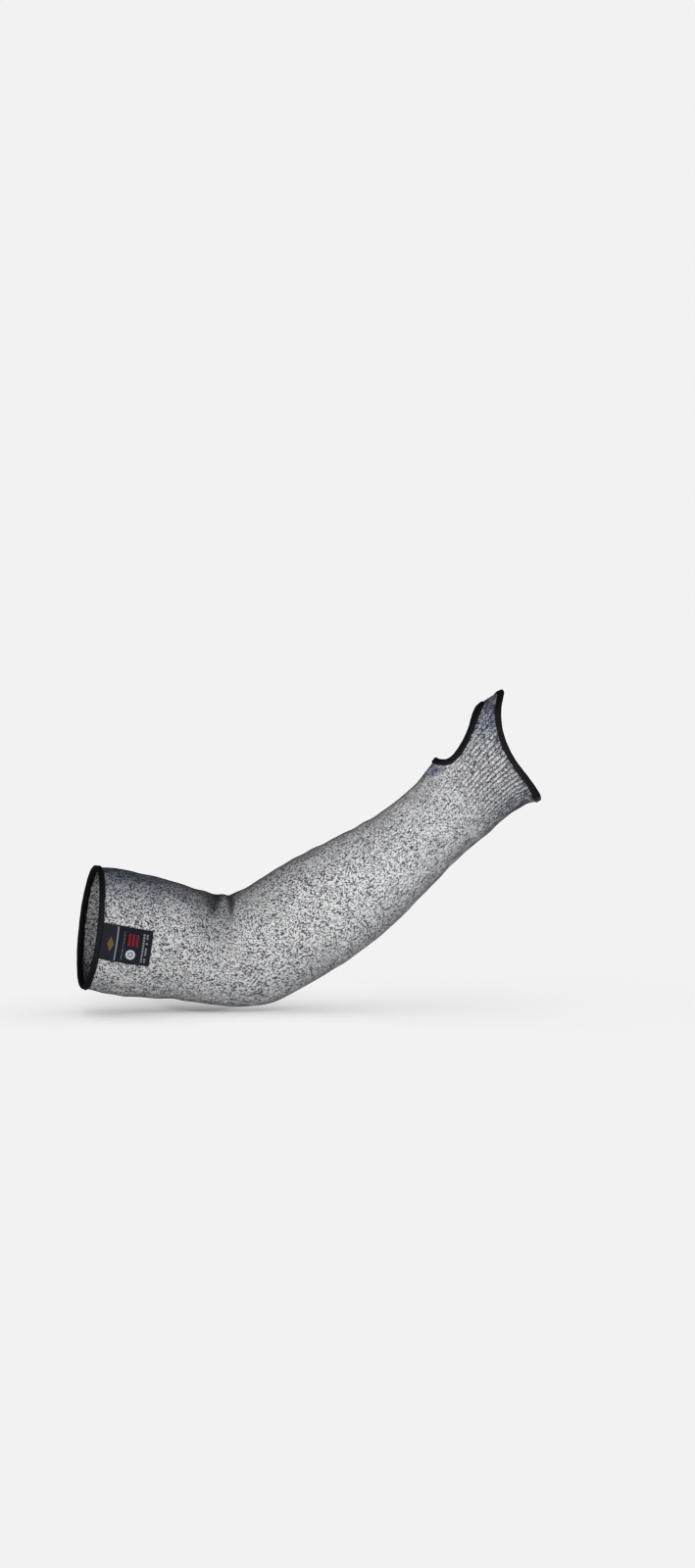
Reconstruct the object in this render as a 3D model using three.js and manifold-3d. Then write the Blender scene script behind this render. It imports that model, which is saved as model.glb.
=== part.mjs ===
// A knitted cut resistant arm sleeve for the right arm, hollow, in the form that a bent arm gives it.
// Millimetres and degrees. The origin is the centre of the upper arm opening. +X runs along the sleeve
// towards the hand, +Z is the thumb side, and the back of the hand faces -Y.
// The knitted tube is one seamless wall. A black tape is folded over each of its three raw edges: the
// arm opening, the hand opening and the thumb hole. Two woven labels are sewn in at the arm opening.

import * as THREE from "three";
import { mergeVertices } from "three/addons/utils/BufferGeometryUtils.js";
import Module from "manifold-3d";

// Driving sizes of the knitted tube: its length, and its width and depth at five places along the arm.
const SLEEVE_LENGTH = 455;
const ARM_WIDTH = 107;
const ARM_DEPTH = 96;
const ELBOW_WIDTH = 97;
const ELBOW_DEPTH = 92;
const FOREARM_WIDTH = 102;
const FOREARM_DEPTH = 88;
const WRIST_WIDTH = 74;
const WRIST_DEPTH = 58;
const PALM_WIDTH = 103;
const PALM_DEPTH = 48;
const KNIT_THICKNESS = 1.6;

// The hand opening is cut back on its two broad sides, so that its edge dips towards the wrist. The rows
// of knitting follow the dip from this share of the length on.
const HAND_EDGE_DIP = 15;
const DIP_START = 0.8;

// The arm opening is slanted: its edge is drawn back by this much on the back of the hand's side and
// stands out by as much on the palm side. The slant fades out at this share of the length.
const ARM_EDGE_SLANT = 3.2;
const SLANT_END = 0.2;

// The thumb hole starts a strap's width behind the hand opening and reaches further down the palm side.
// Its widest place lies nearer to the wrist, by this share of half its length.
const WEB_STRAP_WIDTH = 24;
const THUMB_HOLE_LENGTH = 62;
const THUMB_HOLE_BACK_REACH = 20;
const THUMB_HOLE_PALM_REACH = 42;
const THUMB_HOLE_SKEW = 0.3;

// The edge tape and the room that it leaves around the raw edge.
const TAPE_THICKNESS = 0.9;
const TAPE_CLEARANCE = 0.5;
const ARM_TAPE_WIDTH = 4.5;
const HAND_TAPE_WIDTH = 4.5;
const THUMB_TAPE_WIDTH = 5;

// The folds at the inner elbow, and the softer waves where the sleeve narrows.
const CREASE_DEPTH = 5;
const CREASE_WIDTH = 8;

// The two labels, measured along the sleeve and around it.
const CARE_LABEL_LENGTH = 45;
const CARE_LABEL_WIDTH = 32;
const TAB_LABEL_LENGTH = 15;
const LABEL_THICKNESS = 0.6;
const LABEL_CLEARANCE = 0.4;
const LABEL_PLACE = 95.5;

// How finely the faceted solids follow the real curves: steps around the arm, around the thumb hole, and
// along and across a label.
const AROUND = 40;
const HOLE_STEPS = 60;
const LABEL_STEPS = 6;
const LABEL_CROSS_STEPS = 5;

// The short steps that measure a way along the cloth: a share of the length, and degrees around the arm.
const ALONG_STEP = 0.0005;
const AROUND_STEP = 0.1;

// Each row is the bend of the arm at a place. at is its share of the sleeve's length. heading is the way
// the arm points there, above the horizontal, and lean is how far the section tips from square to it.
const BENDS = [
  { at: 0.0, heading: -11.4, lean: 4 },
  { at: 0.055, heading: -11.4, lean: 3 },
  { at: 0.13, heading: -9.8, lean: 2 },
  { at: 0.2, heading: -12.4, lean: 4 },
  { at: 0.265, heading: -8, lean: 4 },
  { at: 0.315, heading: 12, lean: 0 },
  { at: 0.385, heading: 29, lean: 0 },
  { at: 0.49, heading: 30.7, lean: -1 },
  { at: 0.6, heading: 35.4, lean: -1 },
  { at: 0.7, heading: 39.6, lean: 1 },
  { at: 0.775, heading: 41.2, lean: 0 },
  { at: 0.83, heading: 46.2, lean: -3 },
  { at: 0.87, heading: 47, lean: -3 },
  { at: 0.93, heading: 41.4, lean: -4 },
  { at: 0.97, heading: 34.4, lean: -4.5 },
  { at: 1.0, heading: 24.4, lean: -5 },
];

// Each row is a section across the arm at its share of the length. boxy is 2 for an ellipse and more for
// a squarer form. egg is how much fuller the thumb side is.
const SECTIONS = [
  { at: 0.0, width: ARM_WIDTH, depth: ARM_DEPTH, boxy: 2.05, egg: 0.0 },
  { at: 0.055, width: 1.03 * ARM_WIDTH, depth: 1.03 * ARM_DEPTH, boxy: 2.05, egg: 0.0 },
  { at: 0.13, width: 0.99 * ARM_WIDTH, depth: 1.01 * ARM_DEPTH, boxy: 2.05, egg: 0.02 },
  { at: 0.2, width: 1.02 * ELBOW_WIDTH, depth: 1.03 * ELBOW_DEPTH, boxy: 2.08, egg: 0.05 },
  { at: 0.265, width: ELBOW_WIDTH, depth: ELBOW_DEPTH, boxy: 2.1, egg: 0.1 },
  { at: 0.315, width: 1.04 * ELBOW_WIDTH, depth: 0.97 * ELBOW_DEPTH, boxy: 2.1, egg: 0.14 },
  { at: 0.385, width: 0.995 * FOREARM_WIDTH, depth: FOREARM_DEPTH, boxy: 2.06, egg: 0.12 },
  { at: 0.49, width: FOREARM_WIDTH, depth: FOREARM_DEPTH, boxy: 2.02, egg: 0.07 },
  { at: 0.6, width: 0.89 * FOREARM_WIDTH, depth: 0.9 * FOREARM_DEPTH, boxy: 2.02, egg: 0.04 },
  { at: 0.7, width: 1.05 * WRIST_WIDTH, depth: 1.17 * WRIST_DEPTH, boxy: 2.05, egg: 0.0 },
  { at: 0.775, width: WRIST_WIDTH, depth: WRIST_DEPTH, boxy: 2.1, egg: 0.0 },
  { at: 0.83, width: 0.76 * PALM_WIDTH, depth: 1.12 * PALM_DEPTH, boxy: 2.12, egg: 0.04 },
  { at: 0.87, width: 0.785 * PALM_WIDTH, depth: 1.08 * PALM_DEPTH, boxy: 2.15, egg: 0.06 },
  { at: 0.93, width: 0.875 * PALM_WIDTH, depth: 1.04 * PALM_DEPTH, boxy: 2.2, egg: 0.06 },
  { at: 0.97, width: 0.97 * PALM_WIDTH, depth: 1.01 * PALM_DEPTH, boxy: 2.2, egg: 0.04 },
  { at: 1.0, width: PALM_WIDTH, depth: PALM_DEPTH, boxy: 2.2, egg: 0.0 },
];

// Each row is a fold across the sleeve. at is its share of the length, depth and width are shares of the
// crease's, place and reach are the angles around the arm of its middle and of its fading end, and slant
// is how far it drifts along the sleeve, as a share of the crease's width, for each right angle around.
const FOLDS = [
  { at: 0.246, depth: 0.8, width: 0.8, place: 28, reach: 44, slant: -0.9 },
  { at: 0.272, depth: -0.5, width: 0.6, place: 24, reach: 42, slant: -1.1 },
  { at: 0.3, depth: 0.95, width: 0.8, place: 28, reach: 46, slant: -1.4 },
  { at: 0.236, depth: 0.36, width: 1.5, place: 66, reach: 50, slant: -2.2 },
  { at: 0.286, depth: 0.3, width: 1.4, place: 72, reach: 48, slant: -2.4 },
  { at: 0.238, depth: 0.6, width: 1.0, place: -44, reach: 44, slant: -0.5 },
  { at: 0.305, depth: 0.7, width: 1.0, place: -44, reach: 46, slant: 0.6 },
  { at: 0.345, depth: 0.2, width: 1.7, place: 60, reach: 54, slant: -1.6 },
  { at: 0.4, depth: 0.22, width: 1.8, place: -72, reach: 66, slant: 1.2 },
  { at: 0.16, depth: 0.16, width: 1.9, place: 118, reach: 58, slant: -1.0 },
  { at: 0.335, depth: -0.28, width: 1.8, place: 180, reach: 62, slant: 0.0 },
  { at: 0.66, depth: 0.14, width: 1.9, place: 52, reach: 60, slant: 0.8 },
  { at: 0.73, depth: 0.14, width: 1.6, place: 48, reach: 60, slant: 0.6 },
  { at: 0.56, depth: 0.14, width: 2.2, place: -120, reach: 60, slant: 1.0 },
];

const radians = THREE.MathUtils.degToRad;

// A column of one of the two tables above at any share of the length: a smooth cubic through the rows,
// carried on in a straight line past either end.
function column(table, name, at) {
  const last = table.length - 1;
  const slope = (i) => {
    const before = table[Math.max(0, i - 1)];
    const after = table[Math.min(last, i + 1)];
    return (after[name] - before[name]) / (after.at - before.at);
  };
  if (at <= 0) return table[0][name] + slope(0) * at;
  if (at >= 1) return table[last][name] + slope(last) * (at - 1);
  const i = table.findIndex((row) => row.at > at) - 1;
  const [low, high] = [table[i], table[i + 1]];
  const span = high.at - low.at;
  const t = (at - low.at) / span;
  const rise = t * t * (3 - 2 * t);
  const bend = slope(i) * (t - 2 * t * t + t ** 3) + slope(i + 1) * (t ** 3 - t * t);
  return low[name] + (high[name] - low[name]) * rise + span * bend;
}

// The middle line of the arm: the heading followed in short steps from the origin.
const LINE_STEPS = 400;
const middleLine = [new THREE.Vector2(0, 0)];
for (let i = 0; i < LINE_STEPS; i++) {
  const heading = radians(column(BENDS, "heading", (i + 0.5) / LINE_STEPS));
  const step = SLEEVE_LENGTH / LINE_STEPS;
  const last = middleLine[i];
  middleLine.push(new THREE.Vector2(last.x + Math.cos(heading) * step, last.y + Math.sin(heading) * step));
}

function middleAt(at) {
  const i = THREE.MathUtils.clamp(Math.floor(at * LINE_STEPS), 0, LINE_STEPS - 1);
  return middleLine[i].clone().lerp(middleLine[i + 1], at * LINE_STEPS - i);
}

// How far the folds push the wall in at a place. The depth falls off as a bell along the sleeve and as
// a half wave around it.
function foldDepth(at, angle) {
  let depth = 0;
  for (const fold of FOLDS) {
    const turn = THREE.MathUtils.euclideanModulo(angle - fold.place + 180, 360) - 180;
    if (Math.abs(turn) >= fold.reach) continue;
    const width = fold.width * CREASE_WIDTH;
    const drift = (fold.slant * CREASE_WIDTH * turn) / 90;
    const away = ((at - fold.at) * SLEEVE_LENGTH - drift) / width;
    const fade = 0.5 + 0.5 * Math.cos((Math.PI * turn) / fold.reach);
    depth += fold.depth * CREASE_DEPTH * Math.exp(-away * away) * fade;
  }
  return depth;
}

// A place on the cloth has an along from 0 at the arm opening to 1 at the hand opening, and an angle
// around the arm from the thumb side, positive towards the back of the hand. This is its point on the
// middle of the wall. The cut edge at the hand dips where the section is broad, and the one at the arm is
// slanted.
function clothPoint(along, angle) {
  const cos = Math.cos(radians(angle));
  const sin = Math.sin(radians(angle));
  const dip = (HAND_EDGE_DIP / SLEEVE_LENGTH) * sin ** 2 * THREE.MathUtils.smoothstep(along, DIP_START, 1);
  const fade = 1 - THREE.MathUtils.smoothstep(along, 0, SLANT_END);
  const at = along - dip + (ARM_EDGE_SLANT / SLEEVE_LENGTH) * sin * fade;
  const power = column(SECTIONS, "boxy", at);
  const round = (Math.abs(cos) ** power + Math.abs(sin) ** power) ** (-1 / power);
  const push = foldDepth(at, angle);
  const fuller = 1 + column(SECTIONS, "egg", at) * cos;
  const up = cos * ((round * column(SECTIONS, "width", at)) / 2 - push);
  const out = sin * ((round * column(SECTIONS, "depth", at) * fuller) / 2 - push);
  const tip = radians(column(BENDS, "heading", at) + column(BENDS, "lean", at));
  const middle = middleAt(at);
  return new THREE.Vector3(middle.x - Math.sin(tip) * up, -out, middle.y + Math.cos(tip) * up);
}

// The cloth's two directions and its outward normal at a place, from points a few steps either side.
function clothFrame(along, angle) {
  const [da, dg] = [4 * ALONG_STEP, 8 * AROUND_STEP];
  const lengthwise = clothPoint(along + da, angle).sub(clothPoint(along - da, angle)).divideScalar(2 * da);
  const around = clothPoint(along, angle + dg).sub(clothPoint(along, angle - dg)).divideScalar(2 * dg);
  const normal = around.clone().cross(lengthwise).normalize();
  return { lengthwise, around, normal };
}

// A point raised from the middle of the wall by lift, outwards if positive.
function clothLift(along, angle, lift) {
  return clothPoint(along, angle).addScaledVector(clothFrame(along, angle).normal, lift);
}

// A closed surface from rows of points: each row is a closed ring, and the rings are joined in turn.
// With loop, the last ring joins the first. Otherwise each end ring is closed by a strip between its
// first half and its second half, which suits a thin curved plate as well as an oval.
function ringSolid(rings, loop) {
  const positions = rings.flat().flatMap((p) => [p.x, p.y, p.z]);
  const size = rings[0].length;
  const index = [];
  const joins = loop ? rings.length : rings.length - 1;
  for (let r = 0; r < joins; r++) {
    for (let k = 0; k < size; k++) {
      const [here, next] = [r * size, ((r + 1) % rings.length) * size];
      const turn = (k + 1) % size;
      index.push(here + k, here + turn, next + turn, here + k, next + turn, next + k);
    }
  }
  if (!loop) {
    const end = (rings.length - 1) * size;
    for (let k = 0; k < size / 2 - 1; k++) {
      const [a, b, c, d] = [k, k + 1, size - 2 - k, size - 1 - k];
      index.push(a, c, b, a, d, c);
      index.push(end + a, end + b, end + c, end + a, end + c, end + d);
    }
  }
  const geometry = new THREE.BufferGeometry();
  geometry.setAttribute("position", new THREE.Float32BufferAttribute(positions, 3));
  geometry.setIndex(index);
  return facingOut(geometry);
}

// Turns every face round if the closed surface has a negative volume.
function facingOut(geometry) {
  const p = geometry.attributes.position;
  const index = geometry.index.array;
  const [a, b, c] = [new THREE.Vector3(), new THREE.Vector3(), new THREE.Vector3()];
  let volume = 0;
  for (let i = 0; i < index.length; i += 3) {
    a.fromBufferAttribute(p, index[i]);
    b.fromBufferAttribute(p, index[i + 1]);
    c.fromBufferAttribute(p, index[i + 2]);
    volume += a.dot(b.cross(c));
  }
  if (volume < 0) {
    for (let i = 0; i < index.length; i += 3) {
      [index[i + 1], index[i + 2]] = [index[i + 2], index[i + 1]];
    }
  }
  return geometry;
}

// The stations along the knitted wall, closer together where the elbow folds are.
const STATION_RUNS = [
  { from: 0.0, to: 0.013, steps: 1 },
  { from: 0.013, to: 0.23, steps: 8 },
  { from: 0.23, to: 0.36, steps: 13 },
  { from: 0.36, to: 0.78, steps: 8 },
  { from: 0.78, to: 0.987, steps: 13 },
  { from: 0.987, to: 1.0, steps: 1 },
];
const stations = STATION_RUNS.flatMap((run) =>
  Array.from({ length: run.steps }, (_, i) => run.from + ((run.to - run.from) * i) / run.steps),
).concat(1);
const angles = Array.from({ length: AROUND }, (_, k) => (360 * k) / AROUND);

// The knitted wall before the thumb hole is cut. Each ring goes out along the outer face at one angle and
// back along the inner face, so that the joined rings make a closed tube wall.
const half = KNIT_THICKNESS / 2;
const wallRings = angles.map((angle) => [
  ...stations.map((along) => clothLift(along, angle, half)),
  ...stations.toReversed().map((along) => clothLift(along, angle, -half)),
]);

// Walks along the cloth from a place until it has gone a real distance, and gives the place reached.
function walk(along, angle, perStep, distance) {
  let gone = 0;
  let last = clothPoint(along, angle);
  while (gone < distance) {
    along += perStep.along;
    angle += perStep.angle;
    const next = clothPoint(along, angle);
    gone += next.distanceTo(last);
    last = next;
  }
  return { along, angle };
}

// The thumb hole's outline on the cloth: an oval from its wrist end to its finger end, skewed towards the
// wrist, with one reach towards the back of the hand and a longer one towards the palm.
const TOWARDS_WRIST = { along: -ALONG_STEP, angle: 0 };
const TOWARDS_HAND = { along: ALONG_STEP, angle: 0 };
const TOWARDS_BACK = { along: 0, angle: AROUND_STEP };
const TOWARDS_PALM = { along: 0, angle: -AROUND_STEP };
const fingerEnd = walk(1, 0, TOWARDS_WRIST, WEB_STRAP_WIDTH).along;
const wristEnd = walk(fingerEnd, 0, TOWARDS_WRIST, THUMB_HOLE_LENGTH).along;
const holeMiddle = (fingerEnd + wristEnd) / 2;
const holeHalf = (fingerEnd - wristEnd) / 2;
const backReach = walk(holeMiddle, 0, TOWARDS_BACK, THUMB_HOLE_BACK_REACH).angle;
const palmReach = walk(holeMiddle, 0, TOWARDS_PALM, THUMB_HOLE_PALM_REACH).angle;

function thumbHoleEdge(turn) {
  const sideways = Math.sin(turn);
  return {
    along: holeMiddle + holeHalf * (Math.cos(turn) - THUMB_HOLE_SKEW * sideways * sideways),
    angle: sideways > 0 ? backReach * sideways : -palmReach * sideways,
  };
}

function armEdge(turn) {
  return { along: 0, angle: THREE.MathUtils.radToDeg(turn) };
}

function handEdge(turn) {
  return { along: 1, angle: THREE.MathUtils.radToDeg(turn) };
}

// The place reached by going a real distance from a cut edge into the cloth, square to the edge. intoCloth
// is 1 or -1, for the side of the edge that the cloth lies on.
const TURN_STEP = 0.01;
function inset(edge, turn, intoCloth, distance) {
  const place = edge(turn);
  const [before, after] = [edge(turn - TURN_STEP), edge(turn + TURN_STEP)];
  const run = clothPoint(after.along, after.angle).sub(clothPoint(before.along, before.angle));
  const { lengthwise, around, normal } = clothFrame(place.along, place.angle);
  const inward = run.cross(normal).normalize().multiplyScalar(intoCloth);
  const [ll, la, aa] = [lengthwise.dot(lengthwise), lengthwise.dot(around), around.dot(around)];
  const [li, ai] = [lengthwise.dot(inward), around.dot(inward)];
  const scale = distance / (ll * aa - la * la);
  return {
    along: place.along + (li * aa - ai * la) * scale,
    angle: place.angle + (ai * ll - li * la) * scale,
  };
}

// An edge tape: a channel folded over the raw edge, with a rounded outside. Its section is a list of
// insets from the edge and lifts from the middle of the wall, swept once around the edge.
const NOSE_ROUNDING = 0.7;
function edgeTape(edge, steps, intoCloth, tapeWidth) {
  const inner = KNIT_THICKNESS / 2 + TAPE_CLEARANCE;
  const outer = inner + TAPE_THICKNESS;
  const nose = -(TAPE_CLEARANCE + TAPE_THICKNESS);
  const section = [
    [tapeWidth, inner],
    [tapeWidth - TAPE_THICKNESS / 2, outer],
    [0, outer],
    [NOSE_ROUNDING * nose, NOSE_ROUNDING * outer],
    [nose, 0],
    [NOSE_ROUNDING * nose, -NOSE_ROUNDING * outer],
    [0, -outer],
    [tapeWidth - TAPE_THICKNESS / 2, -outer],
    [tapeWidth, -inner],
    [-TAPE_CLEARANCE, -inner],
    [-TAPE_CLEARANCE, inner],
  ];
  const rings = [];
  for (let k = 0; k < steps; k++) {
    const turn = (2 * Math.PI * k) / steps;
    rings.push(
      section.map(([distance, lift]) => {
        const place = inset(edge, turn, intoCloth, distance);
        return clothLift(place.along, place.angle, lift);
      }),
    );
  }
  return ringSolid(rings, true);
}

// A woven label: a thin plate that follows the outside of the sleeve. from is its distance from the arm
// opening's edge, length runs along the sleeve and width runs around it.
function labelPlate(from, length, width, lift) {
  const start = walk(0, LABEL_PLACE, TOWARDS_HAND, from).along;
  const end = walk(start, LABEL_PLACE, TOWARDS_HAND, length).along;
  const low = walk(start, LABEL_PLACE, TOWARDS_BACK, width / 2).angle;
  const high = 2 * LABEL_PLACE - low;
  const rings = [];
  for (let i = 0; i <= LABEL_STEPS; i++) {
    const along = start + ((end - start) * i) / LABEL_STEPS;
    const across = Array.from(
      { length: LABEL_CROSS_STEPS + 1 },
      (_, k) => high + ((low - high) * k) / LABEL_CROSS_STEPS,
    );
    rings.push([
      ...across.map((angle) => clothLift(along, angle, lift)),
      ...across.toReversed().map((angle) => clothLift(along, angle, lift + LABEL_THICKNESS)),
    ]);
  }
  return ringSolid(rings, false);
}

// The plug that cuts the thumb hole: a thick patch of the cloth's own shape inside the hole's outline,
// from rings at shares of the hole's size.
const PLUG_REACH = 3;
const PLUG_RINGS = [0.3, 0.65, 1];
function holePlug() {
  const reach = PLUG_REACH * KNIT_THICKNESS;
  const ringAt = (share, lift) =>
    Array.from({ length: HOLE_STEPS }, (_, k) => {
      const edge = thumbHoleEdge((2 * Math.PI * k) / HOLE_STEPS);
      const along = holeMiddle + (edge.along - holeMiddle) * share;
      return clothLift(along, edge.angle * share, lift);
    });
  const outside = PLUG_RINGS.map((share) => ringAt(share, reach));
  const inside = PLUG_RINGS.toReversed().map((share) => ringAt(share, -reach));
  return ringSolid([...outside, ...inside], false);
}

const wasm = await Module();
wasm.setup();

const MERGE_DISTANCE = 1e-4;
function toSolid(geometry) {
  const bare = mergeVertices(geometry, MERGE_DISTANCE);
  return new wasm.Manifold(
    new wasm.Mesh({
      numProp: 3,
      vertProperties: new Float32Array(bare.attributes.position.array),
      triVerts: new Uint32Array(bare.index.array),
    }),
  );
}

function toGeometry(solid) {
  const mesh = solid.getMesh();
  const geometry = new THREE.BufferGeometry();
  geometry.setAttribute("position", new THREE.BufferAttribute(new Float32Array(mesh.vertProperties), 3));
  geometry.setIndex(new THREE.BufferAttribute(new Uint32Array(mesh.triVerts), 1));
  geometry.computeVertexNormals();
  return geometry;
}

const knit = new THREE.MeshStandardMaterial({ color: 0x8f9196, roughness: 0.95, metalness: 0 });
const tape = new THREE.MeshStandardMaterial({ color: 0x101012, roughness: 0.75, metalness: 0 });
const navy = new THREE.MeshStandardMaterial({ color: 0x1b1e2b, roughness: 0.6, metalness: 0 });
const charcoal = new THREE.MeshStandardMaterial({ color: 0x2b2d38, roughness: 0.6, metalness: 0 });

const sleeve = new THREE.Group();

function add(name, geometry, material) {
  const mesh = new THREE.Mesh(geometry, material);
  mesh.name = name;
  sleeve.add(mesh);
}

const wall = toSolid(ringSolid(wallRings, true)).subtract(toSolid(holePlug()));
add("knit_tube", toGeometry(wall), knit);

add("arm_opening_tape", edgeTape(armEdge, AROUND, -1, ARM_TAPE_WIDTH), tape);
add("hand_opening_tape", edgeTape(handEdge, AROUND, 1, HAND_TAPE_WIDTH), tape);
add("thumb_hole_tape", edgeTape(thumbHoleEdge, HOLE_STEPS, -1, THUMB_TAPE_WIDTH), tape);

const labelStart = ARM_TAPE_WIDTH + LABEL_CLEARANCE;
const careLift = KNIT_THICKNESS / 2 + LABEL_CLEARANCE;
const tabLift = careLift + LABEL_THICKNESS + LABEL_CLEARANCE;
add("care_label", labelPlate(labelStart, CARE_LABEL_LENGTH, CARE_LABEL_WIDTH, careLift), navy);
add("tab_label", labelPlate(labelStart, TAB_LABEL_LENGTH, CARE_LABEL_WIDTH, tabLift), charcoal);

export default sleeve;
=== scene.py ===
"""A knitted cut resistant arm sleeve for the right arm, in the form that a bent arm gives it.

Metres and degrees, in the frame's own axes: the origin is the centre of the upper arm opening, +X runs
along the sleeve towards the hand, +Z is the thumb side and the back of the hand faces -Y.
Every piece lies on one cloth surface, worked out from the sizes and from three short tables. A place on
it has an along, from 0 at the arm opening to 1 at the hand opening, and an angle around the arm from the
thumb side, positive towards the back of the hand.
"""

import math

import bpy
import numpy as np
from bpy.props import FloatProperty, FloatVectorProperty, IntProperty, PointerProperty
from bpy.types import Operator, Panel, PropertyGroup
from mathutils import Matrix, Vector


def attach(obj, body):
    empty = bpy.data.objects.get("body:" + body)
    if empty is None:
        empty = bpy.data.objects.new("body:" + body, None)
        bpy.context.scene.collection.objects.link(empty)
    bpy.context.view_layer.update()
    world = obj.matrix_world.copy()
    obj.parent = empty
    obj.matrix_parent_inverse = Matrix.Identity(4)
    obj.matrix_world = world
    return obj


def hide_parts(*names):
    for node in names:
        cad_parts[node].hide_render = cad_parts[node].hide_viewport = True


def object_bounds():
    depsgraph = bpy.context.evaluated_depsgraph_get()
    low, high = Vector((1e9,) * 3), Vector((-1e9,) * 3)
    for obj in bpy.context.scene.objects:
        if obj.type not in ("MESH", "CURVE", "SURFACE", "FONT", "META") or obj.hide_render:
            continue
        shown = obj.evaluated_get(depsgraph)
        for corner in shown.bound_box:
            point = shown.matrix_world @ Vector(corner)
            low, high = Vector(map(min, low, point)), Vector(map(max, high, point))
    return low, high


bl_info = {
    "name": "Cut Resistant Sleeve",
    "version": (1, 0, 0),
    "blender": (4, 5, 0),
    "location": "View3D > Sidebar > Sleeve",
    "description": "Dresses a knitted arm sleeve: melange knit, edge tapes, woven labels and a studio",
    "category": "Object",
}

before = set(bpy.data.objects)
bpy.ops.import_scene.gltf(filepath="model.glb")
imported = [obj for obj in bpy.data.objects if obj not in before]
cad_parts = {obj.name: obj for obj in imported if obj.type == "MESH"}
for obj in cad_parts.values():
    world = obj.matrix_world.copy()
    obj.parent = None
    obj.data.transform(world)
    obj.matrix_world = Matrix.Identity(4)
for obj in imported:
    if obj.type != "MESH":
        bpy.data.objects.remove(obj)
CAD_BOX = [list(corner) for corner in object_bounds()]

MM = 0.001


# Settings

def length(name, words, default):
    """A length in metres that a user may change."""
    return FloatProperty(name=name, description=words, default=default, min=0, unit="LENGTH", precision=4)


def share(name, words, default):
    """A number without a unit that a user may change."""
    return FloatProperty(name=name, description=words, default=default)


def colour(name, words, default):
    """A linear colour that a user may change."""
    return FloatVectorProperty(
        name=name, description=words, default=default, subtype="COLOR", size=3, min=0, max=1
    )


class SleeveSizes(PropertyGroup):
    """The knitted tube's length, and its width and depth at five places along the arm."""

    sleeve_length: length("Length", "Along the middle of the arm", 0.455)
    arm_width: length("Arm width", "At the arm opening, seen from the back of the hand", 0.107)
    arm_depth: length("Arm depth", "At the arm opening, from back to palm side", 0.096)
    elbow_width: length("Elbow width", "At the bend", 0.097)
    elbow_depth: length("Elbow depth", "At the bend", 0.092)
    forearm_width: length("Forearm width", "At the fullest place", 0.102)
    forearm_depth: length("Forearm depth", "At the fullest place", 0.088)
    wrist_width: length("Wrist width", "At the narrowest place", 0.074)
    wrist_depth: length("Wrist depth", "At the narrowest place", 0.058)
    palm_width: length("Palm width", "At the hand opening", 0.103)
    palm_depth: length("Palm depth", "At the hand opening", 0.048)
    knit_thickness: length("Knit thickness", "The wall of the knitted tube", 0.0016)
    hand_edge_dip: length("Hand edge dip", "How far the hand edge dips on its broad sides", 0.015)
    arm_edge_slant: length("Arm edge slant", "How far the arm edge is drawn back on the back's side", 0.0032)
    web_strap_width: length("Web strap width", "Between the thumb hole and the hand edge", 0.024)
    thumb_hole_length: length("Thumb hole length", "Along the thumb side", 0.062)
    thumb_hole_back_reach: length("Thumb hole back reach", "Around towards the back of the hand", 0.020)
    thumb_hole_palm_reach: length("Thumb hole palm reach", "Around towards the palm", 0.042)
    crease_depth: length("Crease depth", "Of a whole fold at the inner elbow", 0.005)
    crease_width: length("Crease width", "Of a whole fold at the inner elbow", 0.008)


class KnitLook(PropertyGroup):
    """The stitches and yarns of the knit."""

    wales: IntProperty(name="Wales", description="Columns of stitches around the sleeve", default=164)
    rows: IntProperty(name="Rows", description="Rows of stitches along the sleeve", default=460)
    ribs: IntProperty(name="Ribs", description="Ribs around the hand end", default=68)
    rib_height: length("Rib height", "Of the ribs' relief, from their middle height", 0.0002)
    light_yarn: colour("Light yarn", "The white yarn of the melange", (0.95, 0.95, 0.945))
    dark_yarn: colour("Dark yarn", "The black yarn of the melange", (0.017, 0.018, 0.024))
    # The navy and pale yarns tint the knit about the thumb hole and by the hand edge, and they paint shade on
    # top of the upper arm, at the heel of the hand and underneath.
    navy_yarn_and_painted_shade: colour("Navy yarn", "The dark yarn where the knit is cool in tone", (0.022, 0.03, 0.085))
    pale_yarn_and_painted_shade: colour("Pale yarn", "The light yarn where the knit is cool in tone", (0.38, 0.43, 0.56))
    unevenness: length("Unevenness", "How far the cloth waves in and out", 0.00022)


class EdgeTapes(PropertyGroup):
    """The black tape that is folded over each raw edge."""

    arm_tape_width: length("Arm tape width", "How far it covers the cloth at the arm opening", 0.0042)
    hand_tape_width: length("Hand tape width", "How far it covers the cloth at the hand opening", 0.0045)
    thumb_tape_width: length("Thumb tape width", "How far it covers the cloth at the thumb hole", 0.005)
    thickness: length("Tape thickness", "From the cloth to the outside", 0.0011)
    nose: length("Nose", "How far it stands beyond the raw edge", 0.0011)
    wrap_pitch: length("Wrap pitch", "From one thread wrap to the next", 0.0012)
    wrap_height: length("Wrap height", "Of the thread wraps' relief", 0.00012)
    stitch_length: length("Stitch length", "Of the seam that holds the tape", 0.0023)
    thread_radius: length("Thread radius", "Of the seam's thread", 0.00022)
    black: colour("Black", "The tape", (0.0045, 0.0045, 0.0055))
    thread: colour("Thread", "The seam's thread", (0.009, 0.009, 0.0105))


class WovenLabels(PropertyGroup):
    """The two labels sewn in at the arm opening."""

    care_length: length("Care label length", "Along the sleeve", 0.045)
    tab_length: length("Tab label length", "Along the sleeve", 0.015)
    label_width: length("Label width", "Around the sleeve", 0.032)
    thickness: length("Label thickness", "Of one woven label", 0.0005)
    gap: length("Label gap", "Between a label and what lies under it", 0.00025)
    place: share("Label place", "Degrees around the arm from the thumb side", 95.5)
    navy: colour("Navy", "The care label", (0.0046, 0.0054, 0.0118))
    charcoal: colour("Charcoal", "The tab label", (0.0085, 0.0095, 0.0165))
    gold: colour("Gold", "The tab's woven lozenge", (0.21, 0.135, 0.035))
    red: colour("Red", "The care label's woven bars", (0.28, 0.011, 0.018))
    white: colour("White", "The care label's woven disc", (0.60, 0.66, 0.72))
    grey: colour("Grey", "The woven stripe and dashes", (0.36, 0.365, 0.42))


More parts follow.
